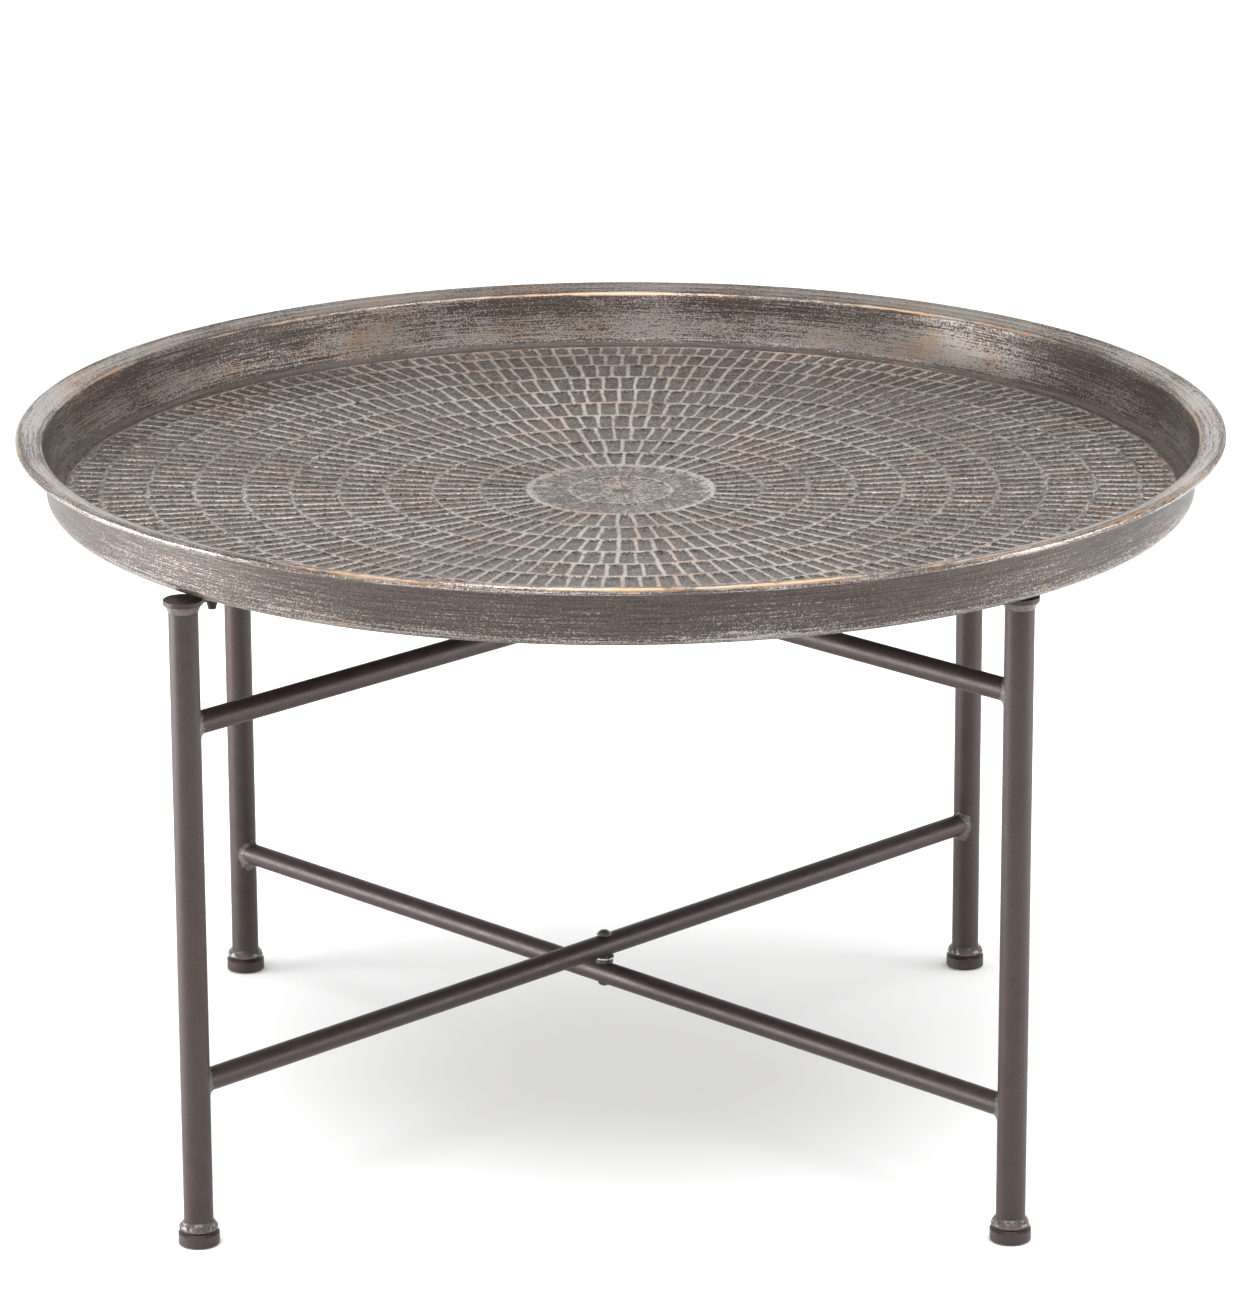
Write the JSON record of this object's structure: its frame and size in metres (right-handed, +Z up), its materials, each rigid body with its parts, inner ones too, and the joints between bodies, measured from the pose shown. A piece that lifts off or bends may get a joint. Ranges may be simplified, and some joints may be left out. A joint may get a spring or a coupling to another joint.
{
  "type": "tray table",
  "caption": "Round antiqued metal tray with a hammered floor and rolled rim, resting on a folding base of crossed tube frames.",
  "frame": {"origin": "on the floor, below the centre of the round tray; the axis that the two frames fold about stands 12.6 mm to its -X side", "axes": "+Z up; the legs stand on the diagonals between X and Y, and -Y is the side the table is seen from"},
  "size_m": [0.8, 0.8, 0.478],
  "materials": {
    "tray_patina": "dark antique patina, hammered and rubbed back to silver-grey and copper on the high spots",
    "rim_wire_steel": "bare drawn wire, hidden in the rim",
    "frame_paint": "satin brown-grey powder coat with a fine grain",
    "bumper_rubber": "matt black",
    "black_plastic": "matt black",
    "rivet_steel": "satin dark brown",
    "washer_steel": "zinc plated"
  },
  "bodies": {
    "outer_frame": {"lower_pivot_rivet": "rivet_steel", "lower_pivot_spacer": "black_plastic", "lower_pivot_washer": "washer_steel", "outer_bumper_back": "bumper_rubber", "outer_bumper_front": "bumper_rubber", "outer_foot_back": "frame_paint", "outer_foot_front": "frame_paint", "outer_glide_back": "black_plastic", "outer_glide_front": "black_plastic", "outer_leg_back": "frame_paint", "outer_leg_front": "frame_paint", "outer_lower_rail": "frame_paint", "outer_top_plate_back": "frame_paint", "outer_top_plate_front": "frame_paint", "outer_upper_rail": "frame_paint", "upper_pivot_rivet": "rivet_steel", "upper_pivot_spacer": "black_plastic", "upper_pivot_washer": "washer_steel"},
    "inner_frame": {"inner_bumper_back": "bumper_rubber", "inner_bumper_front": "bumper_rubber", "inner_foot_back": "frame_paint", "inner_foot_front": "frame_paint", "inner_glide_back": "black_plastic", "inner_glide_front": "black_plastic", "inner_leg_back": "frame_paint", "inner_leg_front": "frame_paint", "inner_lower_rail": "frame_paint", "inner_top_plate_back": "frame_paint", "inner_top_plate_front": "frame_paint", "inner_upper_rail": "frame_paint"},
    "tray": {"tray": "tray_patina", "rim_wire": "rim_wire_steel"}
  },
  "joints": [
    {"name": "frame_fold", "type": "hinge", "parent": "outer_frame", "child": "inner_frame", "pos_m": [-0.0126, 0, 0.0996], "axis": [0, 0, 1], "range_deg": [-85.5, 85.5]},
    {"name": "tray_lift", "type": "slide", "parent": "outer_frame", "child": "tray", "axis": [0, 0, 1], "range_m": [0, 0.3]}
  ]
}
